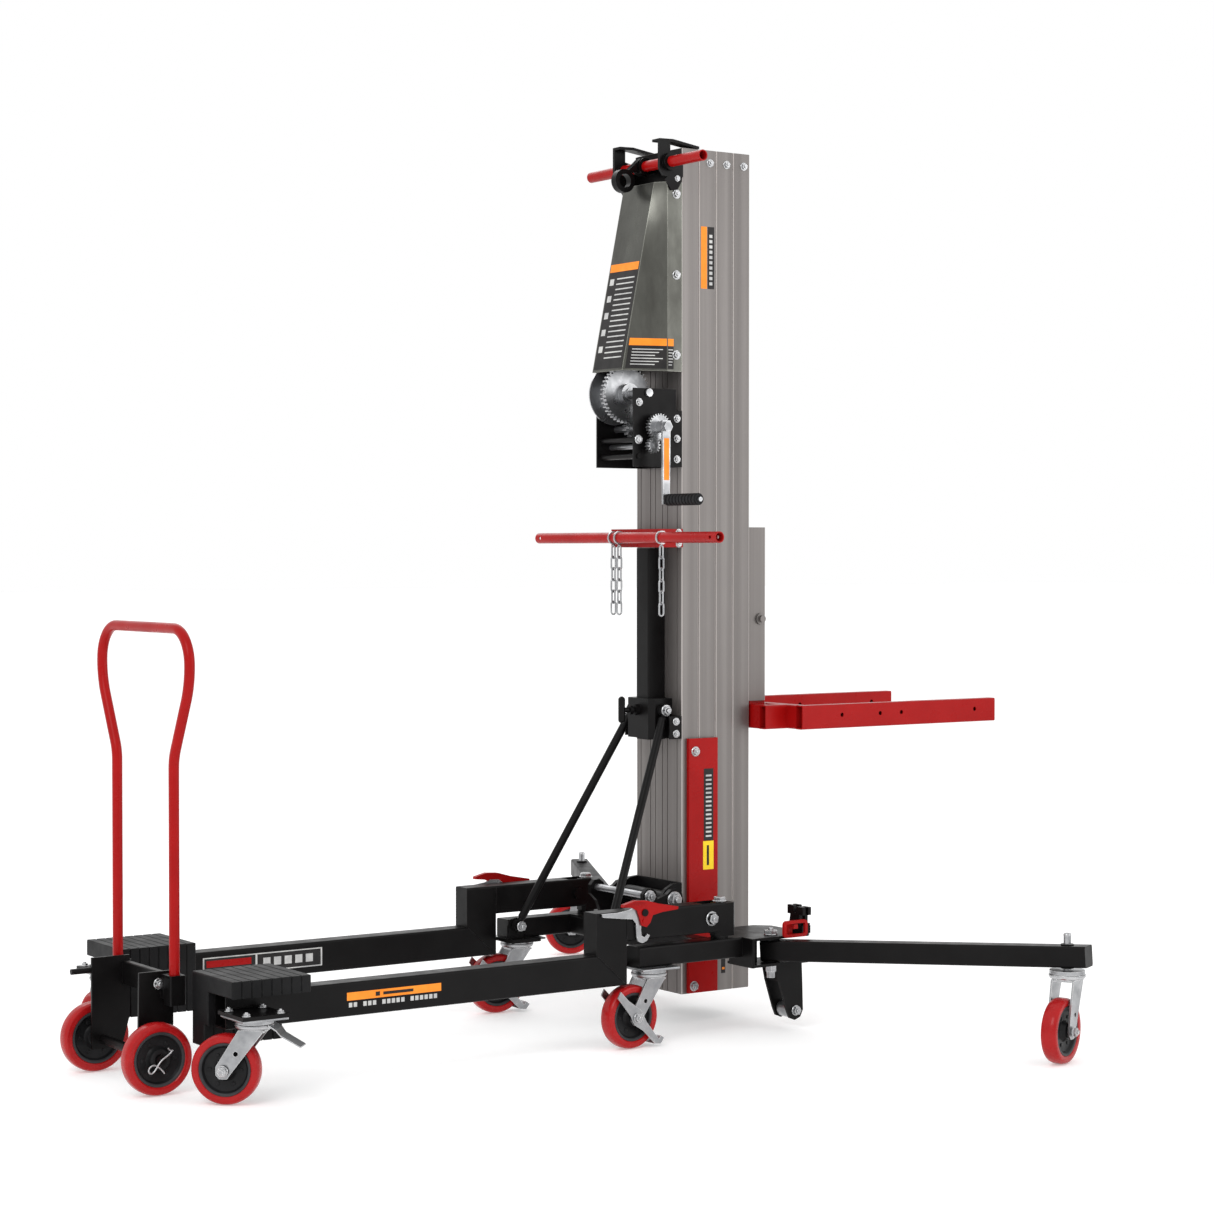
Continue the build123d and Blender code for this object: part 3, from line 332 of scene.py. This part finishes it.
def bead(name, points, radius, body, material=BLACK):
    """A weld bead: a slightly lumpy rope of small overlapping rings."""
    bm = bmesh.new()
    samples = []
    for first, second in zip(points, points[1:]):
        a, b = Vector(first), Vector(second)
        count = max(int((b - a).length / 3.0), 2)
        samples += [(a.lerp(b, i / count), b - a) for i in range(count)]
    samples.append((Vector(points[-1]), Vector(points[-1]) - Vector(points[-2])))
    rings = []
    for index, (point, direction) in enumerate(samples):
        size = radius * (1.0 if index % 2 else 0.8)
        rings.append(ring_of(bm, facing(point, direction), size, 0, 8))
    skin(bm, rings)
    return finish_mesh(name, bm, material, body)


# ---- the CAD nodes take their finish, with softened edges ----
slots = {entry["node"]: entry["material_slot"] for entry in frame["record"]["subparts"]}
BEVELS = {"mast_aluminium": 0.0006, "zinc_plate": 0.0006, "cast_weight": 0.0008, "galvanised_sheet": 0.0005}
for node, obj in frame["nodes"].items():
    material = SLOT_MATERIALS[slots[node]]
    obj.data.materials.clear()
    obj.data.materials.append(material)
    bevel = obj.modifiers.new("edge", "BEVEL")
    bevel.width = BEVELS.get(slots[node], 0.0009)
    bevel.segments = 2
    bevel.limit_method = "ANGLE"
    bevel.angle_limit = math.radians(38)
    bevel.harden_normals = True


# ---- wheels: urethane tread, grey rim and dished black hub ----
def wheel(node, body, centre, radius, width, yaw, bore):
    """A caster wheel with its tread, rim and hub as separate pieces."""
    angle = math.radians(yaw)
    place = facing(centre, (-math.sin(angle), math.cos(angle), 0))
    half = width / 2
    core = radius * 0.76
    tread = [(core, half - 3), (core + 2, half - 1.2), (radius - 7, half), (radius - 4, half - 1.2),
             (radius - 1.6, half - 4.5), (radius - 0.4, half - 9), (radius, half - 13)]
    outline = tread + [(r, -h) for r, h in reversed(tread)]
    bm = bmesh.new()
    lathe(bm, outline, place, 96, True)
    tyre = finish_mesh(f"{body}_tread", bm, URETHANE, body)
    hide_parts(node)
    bm = bmesh.new()
    rim = [(core + 0.5, half - 3.6), (core - 1, half - 2.2), (core - 4, half - 2.4), (core - 6, half - 4),
           (core - 7, half - 7)]
    lathe(bm, rim + [(r, -h) for r, h in reversed(rim)], place, 80, True)
    finish_mesh(f"{body}_rim", bm, RIM, body)
    bm = bmesh.new()
    web = [(core - 6.5, half - 5), (core - 10, half - 9.5), (bore + 16, half - 11), (bore + 12, half - 7),
           (bore + 10, half - 1), (bore + 7.5, half), (bore + 0.4, half)]
    lathe(bm, web + [(r, -h) for r, h in reversed(web)], place, 64, True)
    middle = (core + bore) / 2 + 2
    for face in (-1, 1):
        for spoke in range(6):
            turn = math.pi * spoke / 3
            spot = Vector((middle * math.cos(turn), middle * math.sin(turn), face * (half - 10))) / 1000
            knob = facing(place @ spot * 1000, place.to_3x3() @ Vector((0, 0, face)))
            lathe(bm, [(4.2, -1.5), (4.2, 0.6), (3.4, 1.4), (2.0, 1.6)], knob, 14)
    finish_mesh(f"{body}_hub", bm, HUB, body)


WHEEL_R, DOLLY_R, WHEEL_W = 70.0, 73.0, 36.0
REAR_X, REAR_Y, REAR_YAW = -951, 350, 43
FRONT_X, FRONT_Y = 686, 927
# name, node, swivel X and Y, yaw of the left one, wheel's trail behind the swivel, top of the fork's head
CASTERS = (
    ("rear", "rear_caster", REAR_X, REAR_Y, REAR_YAW, 57, 171.0),
    ("brake", "brake_caster", 57, 270, -5, 57, 171.0),
    ("front", "front_caster", FRONT_X, FRONT_Y, -22, 32, 196.0),
)
for side, sign in SIDES:
    for name, node, x, y, left_yaw, trail, top in CASTERS:
        yaw = left_yaw * sign
        angle = math.radians(yaw)
        centre = (x - trail * math.cos(angle), sign * y - trail * math.sin(angle), WHEEL_R)
        wheel(f"{node}_{side}_wheel", f"{name}_wheel_{side}", centre, WHEEL_R, WHEEL_W, yaw, 7.0)
        direction = Vector((-math.sin(angle), math.cos(angle), 0))
        for way in (-1, 1):
            spot = Vector(centre) + direction * way * 30.5
            end = "in" if way * sign < 0 else "out"
            bolt(f"{name}_axle_nut_{side}_{end}", spot, direction * way, 9.0, f"{name}_fork_{side}")
        head = Vector((x, sign * y, 0))
        bm = bmesh.new()
        groove = [(29.5, top - 19), (37, top - 17.5), (39.4, top - 14), (39.7, top - 10.5), (38.6, top - 8.8),
                  (29.5, top - 8.4)]
        lathe(bm, groove, facing(head, (0, 0, 1)), 56, True)
        finish_mesh(f"{name}_raceway_{side}", bm, ZINC, f"{name}_fork_{side}")
    name = f"dolly_wheel_{side}"
    wheel(name, name, (-1069, sign * 152, DOLLY_R), DOLLY_R, WHEEL_W, 0, 11.0)


# ---- bolts ----
def bolt_rows(label, places, direction, size, body, nut=True):
    """Several equal bolts on one face."""
    for index, place in enumerate(places):
        bolt(f"{label}_{index}", place, direction, size, body, ZINC, nut)


for side, sign in SIDES:
    out = (0, sign, 0)
    mast, channel = sign * MAST_SIDE, sign * CHANNEL_SIDE
    for column, x in ((2, 358), (3, 406), (4, 456)):
        bolt(f"mast_top_bolt_{column}_{side}", (x, mast, 1985), out, 7.5, f"mast_{column}")
    bolt_rows(f"channel_bolt_{side}", [(310, channel, 627), (306, channel, 84)], out, 9.0, "mast_1")
    bolt_rows(f"cover_bolt_{side}", [(262, mast, z) for z in (1539, 1722, 1907)], out, 8.5, "mast_1")
    bolt_rows(f"collar_bolt_{side}", [(262, mast, z) for z in (669, 697)], out, 7.0, "collar")
    bolt_rows(f"bar_bolt_{side}", [(266, sign * 94, z) for z in (1106, 1132)], out, 6.5, "mast_1")
    bolt(f"bracket_bolt_{side}", (262, sign * 94, 1942), out, 5.5, "mast_1", ZINC, False)
    bolt(f"leg_bolt_{side}", (213, sign * 293.4, 270), out, 12.5, f"knuckle_{side}")
    bolt(f"brace_head_bolt_{side}", (249, sign * 69, 722), out, 10.5, f"brace_{side}")
    bolt(f"brace_foot_bolt_{side}", (3, sign * 166, 216), (0, -sign, 0), 9.0, "chassis")
    bolt(f"pivot_bolt_{side}", (241, sign * 112, 290), out, 15.0, "chassis")
    bolt(f"stop_bolt_{side}", (172, sign * 112, 303), out, 11.0, "chassis")
    bolt(f"hub_bolt_{side}", (378, sign * 295, 221), (0, 0, 1), 12.5, "chassis")
    bolt(f"swing_bolt_{side}", (253, sign * 268, 303.5), (0, 0, 1), 12.5, "chassis", ZINC, False)
    bolt(f"skid_bolt_{side}", (450, sign * 296, 42), out, 9.0, "chassis")
    plate_bolts = [(x, sign * y, 183) for x in (-988, -914) for y in (312, 388)]
    bolt_rows(f"rear_plate_bolt_{side}", plate_bolts, (0, 0, 1), 7.0, f"leg_{side}")
    bolt(f"dolly_bolt_{side}", (-1042, sign * 106, 215), out, 9.0, "dolly")
    cap = bmesh.new()
    stem = facing((FRONT_X, sign * FRONT_Y, 268), (0, 0, 1))
    lathe(cap, [(8.4, 0), (8.6, 3), (7.4, 5.5), (4, 6.4)], stem, 28)
    finish_mesh(f"stem_cap_{side}", cap, ZINC, f"front_fork_{side}")
winch_bolts = [(x, -MAST_SIDE, z) for x, z in ((158, 1428), (264, 1393), (264, 1347), (264, 1300))]
bolt_rows("winch_bolt", winch_bolts, (0, -1, 0), 7.0, "mast_1")
bolt("winch_rod_nut_0", (156, -MAST_SIDE, 1343), (0, -1, 0), 8.0, "mast_1")


# ---- labels: generic bars and panels, without any lettering ----
WHOLE = [((0, 1), (0, 1))]
PANEL, PRINT = 0.4, 0.7  # how far a label and its printing stand off (mm)
HOOD_LOW, HOOD_HIGH = 1501.0, 1934.0
HOOD_REAR_LOW, HOOD_REAR_HIGH, HOOD_FRONT, HOOD_HALF = 131.0, 220.0, 237, 60


def face_label(name, corners, normal, body, header, rows):
    """A black panel with an orange header and pale printed bars."""
    patches(f"{name}_panel", corners, WHOLE, normal, 0.35, LABEL, body)
    patches(f"{name}_header", corners, [((0, 1), (1 - header, 1))], normal, 0.6, ORANGE, body)
    patches(f"{name}_print", corners, rows, normal, 0.6, INK, body)


def hood_rear(z):
    """The X of the hood's sloping rear face at a height."""
    climb = (z - HOOD_LOW) / (HOOD_HIGH - HOOD_LOW)
    return HOOD_REAR_LOW + climb * (HOOD_REAR_HIGH - HOOD_REAR_LOW)


def hood_side(sign, z, part):
    """A point on the hood's twisted side, between its rear and its front edge."""
    rear = hood_rear(z)
    half = HOOD_HALF + (MAST_SIDE - HOOD_HALF) * part
    return (rear + (HOOD_FRONT - rear) * part, sign * half, z)


def warped(name, sign, rows, lift, material):
    """Strips that follow the hood's twisted side, as fractions of its label."""
    bm = bmesh.new()
    for (u0, u1), (v0, v1) in rows:
        cells = max(1, round(12 * (u1 - u0)))
        for cell in range(cells):
            a, b = (u0 + (u1 - u0) * (cell + k) / cells for k in (0, 1))
            grid = [(a, v0), (b, v0), (b, v1), (a, v1)]
            points = [hood_side(sign, 1506 + 69 * v, 0.06 + 0.92 * u) for u, v in grid]
            slab(bm, points, (-0.3, sign, 0), lift)
    bmesh.ops.remove_doubles(bm, verts=bm.verts, dist=1e-6)
    finish_mesh(name, bm, material, "mast_1", False)


def upright(y, xs, zs):
    """Corners of an upright rectangle that faces sideways."""
    (x0, x1), (z0, z1) = xs, zs
    return [(x0, y, z0), (x1, y, z0), (x1, y, z1), (x0, y, z1)]


def rungs(count, us, low, high, pitch):
    """Equal bars one above the other, as fractions of a label."""
    return [(us, (low + pitch * i, high + pitch * i)) for i in range(count)]


text_rows = [((0.10, 0.90 - 0.1 * (i % 3)), (0.62 - 0.10 * i, 0.65 - 0.10 * i)) for i in range(6)]
icons = [((0.06, 0.20), (0.80 - 0.16 * i, 0.86 - 0.16 * i)) for i in range(5)]
lines = [((0.30, 0.92), (0.85 - 0.05 * i, 0.862 - 0.05 * i)) for i in range(16)]
low, high, half = 1507, 1752, 56
x_low, x_high = hood_rear(low), hood_rear(high)
rear_panel = [(x_low, half, low), (x_low, -half, low), (x_high, -half, high), (x_high, half, high)]
face_label("cover_rear", rear_panel, (-1, 0, 0.2), "mast_1", 0.075, lines + icons)
for side, sign in SIDES:
    out = (0, sign, 0)
    mast, channel = sign * MAST_SIDE, sign * CHANNEL_SIDE
    warped(f"cover_side_panel_{side}", sign, [((0, 1), (0, 0.76))], 0.7, LABEL)
    warped(f"cover_side_header_{side}", sign, [((0, 1), (0.76, 1))], 0.9, ORANGE)
    warped(f"cover_side_print_{side}", sign, text_rows, 1.1, INK)
    flange = upright(mast, (238, 254), (1506, 1575))
    face_label(f"cover_flange_{side}", flange, out, "mast_1", 0.24, text_rows)
    strip = upright(mast, (332, 349), (1695, 1838))
    patches(f"mast_strip_{side}", strip, WHOLE, out, PANEL, ORANGE, "mast_2")
    plate = upright(mast, (351, 370), (1695, 1838))
    patches(f"mast_plate_{side}", plate, WHOLE, out, PANEL, LABEL, "mast_2")
    blocks = rungs(10, (0.25, 0.70), 0.06, 0.11, 0.085)
    patches(f"mast_plate_print_{side}", plate, blocks, out, PRINT, INK, "mast_2")
    plate = upright(channel, (334, 361), (419, 586))
    patches(f"channel_plate_{side}", plate, WHOLE, out, PANEL, LABEL, "mast_1")
    blocks = rungs(15, (0.2, 0.8), 0.05, 0.075, 0.06)
    patches(f"channel_print_{side}", plate, blocks, out, PRINT, INK, "mast_1")
    tag = upright(channel, (332, 362), (352, 418))
    patches(f"channel_tag_{side}", tag, WHOLE, out, PANEL, YELLOW, "mast_1")
    patches(f"channel_tag_print_{side}", tag, [((0.35, 0.55), (0.15, 0.85))], out, PRINT, LABEL, "mast_1")
    tag = upright(mast, (392, 404), (105, 140))
    patches(f"foot_tag_{side}", tag, WHOLE, out, PANEL, LABEL, "mast_3")
    patches(f"foot_tag_print_{side}", tag, [((0.2, 0.8), (0.25, 0.4))], out, PRINT, ORANGE, "mast_3")

# The labels that the photograph shows on the legs and on the crank all face the same way
SEEN = (0, -1, 0)
plate = upright(LEG_INNER, (-775, -480), (158, 199))
patches("leg_plate_left", plate, WHOLE, SEEN, PANEL, LABEL, "leg_left")
frame_bars = [((0.0, 1.0), (0.0, 0.06)), ((0.0, 1.0), (0.94, 1.0)), ((0.0, 0.012), (0.06, 0.94)),
              ((0.988, 1.0), (0.06, 0.94)), ((0.435, 0.45), (0.06, 0.94)), ((0.02, 0.40), (0.10, 0.30))]
squares = [((0.50 + 0.09 * i, 0.56 + 0.09 * i), (0.28, 0.72)) for i in range(5)]
patches("leg_plate_frame_left", plate, frame_bars + squares, SEEN, PRINT, INK, "leg_left")
patches("leg_plate_end_left", plate, [((0.03, 0.40), (0.46, 0.82))], SEEN, PRINT, RED, "leg_left")
plate = upright(-LEG_OUTER, (-713, -490), (158, 191))
patches("leg_bar_right", plate, [((0.0, 1.0), (0.50, 1.0))], SEEN, PANEL, ORANGE, "leg_right")
gaps = (2, 6, 12)
blocks = [((0.02 + 0.05 * i, 0.055 + 0.05 * i), (0.08, 0.36)) for i in range(19) if i not in gaps]
patches("leg_bar_print_right", plate, blocks, SEEN, PANEL, INK, "leg_right")
bars = [((0.30, 0.345), (0.62, 0.88)), ((0.38, 0.70), (0.66, 0.84))]
patches("leg_bar_mark_right", plate, bars, SEEN, PRINT, LABEL, "leg_right")
strip = upright(-142.0, (190, 204), (1250, 1345))
patches("crank_strip", strip, WHOLE, SEEN, PANEL, ORANGE, "winch_crank")


# ---- the dolly's bent handle, the clips on its axle, and the rear casters' brake tips ----
def bent_bar(name, points, radius, body, material=ZINC, smooth=True, rounding=4):
    """A round bar bent through points in millimetres, as a mesh."""
    curve = bpy.data.curves.new(name, "CURVE")
    curve.dimensions = "3D"
    curve.bevel_depth = radius / 1000
    curve.bevel_resolution = rounding
    curve.resolution_u = 12
    curve.use_fill_caps = True
    spline = curve.splines.new("NURBS" if smooth else "POLY")
    spline.points.add(len(points) - 1)
    for target, point in zip(spline.points, points):
        target.co = (*(Vector(point) / 1000), 1)
    if smooth:
        spline.use_endpoint_u = True
        spline.order_u = 4
    source = bpy.data.objects.new(name + "_path", curve)
    mesh = bpy.data.meshes.new_from_object(source)
    mesh.name = name
    bpy.data.objects.remove(source)
    mesh.materials.clear()
    mesh.materials.append(material)
    mesh.shade_smooth()
    mesh.set_sharp_from_angle(angle=math.radians(40))
    obj = bpy.data.objects.new(name, mesh)
    bpy.context.scene.collection.objects.link(obj)
    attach(obj, body)
    return obj


def rounded(points, radii, steps=14):
    """A path whose inner corners are replaced with arcs."""
    path = [Vector(points[0])]
    for before, corner, after, radius in zip(points, points[1:], points[2:], radii):
        corner = Vector(corner)
        back, ahead = (Vector(before) - corner).normalized(), (Vector(after) - corner).normalized()
        half = back.angle(ahead) / 2
        centre = corner + (back + ahead).normalized() * (radius / math.sin(half))
        first = corner + back * (radius / math.tan(half)) - centre
        last = corner + ahead * (radius / math.tan(half)) - centre
        path += [centre + radius * first.slerp(last, step / steps).normalized() for step in range(steps + 1)]
    return path + [Vector(points[-1])]


HANDLE_X, HANDLE_LEG = -1022.0, 137.0
HANDLE_HALF, HANDLE_TUBE = 211, 10.8
HANDLE_BENDS = (90, 160, 72)
HANDLE_CORNERS = ((HANDLE_LEG, 190), (HANDLE_LEG, 672), (HANDLE_HALF, 822), (HANDLE_HALF, 934))
rise = [(HANDLE_X, -y, z) for y, z in HANDLE_CORNERS]
route = rounded(rise + [(x, -y, z) for x, y, z in reversed(rise)], HANDLE_BENDS + HANDLE_BENDS[::-1])
handle = bent_bar("handle_tube", route, HANDLE_TUBE, "dolly", RED, False, 7)
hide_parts("dolly_handle")

CLIP_PLANE, CLIP_WIRE = 173.5, 1.7
CLIP_BENDS = ((-1054, 96), (-1048, 88), (-1040, 94), (-1052, 82), (-1064, 76), (-1073, 68), (-1080, 56),
              (-1088, 47), (-1097, 50), (-1096, 60), (-1086, 66), (-1076, 62), (-1066, 52), (-1062, 46))
# The brake tip's distance from the swivel, height and half width, from its root to its end
BRAKE_TIP = ((34, 160, 24), (50, 150, 24), (58, 140, 22), (98, 118, 20))
for side, sign in SIDES:
    bent_bar(f"axle_clip_{side}", [(x, sign * CLIP_PLANE, z) for x, z in CLIP_BENDS], CLIP_WIRE, "dolly")
    turn = math.radians(REAR_YAW * sign)
    along = Vector((math.cos(turn), math.sin(turn), 0))
    across = Vector((-along.y, along.x, 0))
    head = Vector((REAR_X, sign * REAR_Y, 0))
    bm = bmesh.new()
    for (r0, z0, w0), (r1, z1, w1) in zip(BRAKE_TIP, BRAKE_TIP[1:]):
        ends = [head + along * r + across * w * k + Vector((0, 0, z)) for r, z, w, k in
                ((r0, z0, w0, -1), (r1, z1, w1, -1), (r1, z1, w1, 1), (r0, z0, w0, 1))]
        slab(bm, ends, (0, 0, 1), 2.6)
    finish_mesh(f"rear_brake_tip_{side}", bm, ZINC, f"rear_fork_{side}", False)

# ---- weld beads ----
for side, sign in SIDES:
    y0, y1 = sign * LEG_INNER, sign * LEG_OUTER
    bead(f"leg_mitre_{side}", [(-95, y1, 211), (-22, y1, 145)], 1.3, f"leg_{side}")
    bead(f"leg_mitre_in_{side}", [(-95, y0, 211), (-22, y0, 145)], 1.3, f"leg_{side}")
    bead(f"arm_seam_{side}", [(-18, y1, 300), (-18, y1, 242)], 1.4, f"leg_{side}")
    bead(f"arm_seam_in_{side}", [(-18, y0, 300), (-18, y0, 242)], 1.4, f"leg_{side}")
    bead(f"hub_seam_{side}", [(300, y1 + sign, 218), (300, y1 + sign, 180)], 1.6, "chassis")
    bead(f"shelf_seam_{side}", [(-1000, y1 + sign, 183.5), (-903, y1 + sign, 183.5)], 1.4, f"leg_{side}")

# ---- stage, light and camera ----
bm = bmesh.new()
FLOOR_HALF = 60  # metres, so that the far views still end on it
for corner in ((-1, -1), (1, -1), (1, 1), (-1, 1)):
    bm.verts.new((FLOOR_HALF * corner[0], FLOOR_HALF * corner[1], 0))
bm.faces.new(bm.verts)
floor = finish_mesh("floor", bm, FLOOR, None, False)
floor.location.z = -0.0006

world = bpy.data.worlds.new("studio")
world.use_nodes = True
world.node_tree.nodes["Background"].inputs["Color"].default_value = (1, 1, 1, 1)
world.node_tree.nodes["Background"].inputs["Strength"].default_value = 1.0
bpy.context.scene.world = world


def lamp(name, place, target, size, power):
    """A large soft light."""
    data = bpy.data.lights.new(name, "AREA")
    data.shape = "RECTANGLE"
    data.size, data.size_y = size
    data.energy = power
    obj = bpy.data.objects.new(name, data)
    obj.location = place
    obj.rotation_euler = (Vector(target) - Vector(place)).to_track_quat("-Z", "Y").to_euler()
    bpy.context.scene.collection.objects.link(obj)


lamp("key", (-4.2, -2.6, 4.2), (0, 0, 0.8), (2.6, 2.6), 95)
lamp("fill", (3.5, -5.0, 2.2), (0, 0, 0.8), (2.4, 3.2), 45)
lamp("back", (1.0, 5.0, 4.5), (0, 0, 1.0), (4.0, 2.0), 50)

scene = bpy.context.scene
scene.view_settings.view_transform = "Standard"
camera_data = bpy.data.cameras.new("camera")
camera_data.lens = 79.09
camera_data.sensor_width = 36.0
camera = bpy.data.objects.new("camera", camera_data)
azimuth, drop = math.radians(34.54), math.radians(1.208)
look = Vector((math.sin(azimuth) * math.cos(drop), math.cos(azimuth) * math.cos(drop), -math.sin(drop)))
camera.location = (-3.343, -5.047, 1.090)
camera.rotation_euler = look.to_track_quat("-Z", "Y").to_euler()
scene.collection.objects.link(camera)
scene.camera = camera
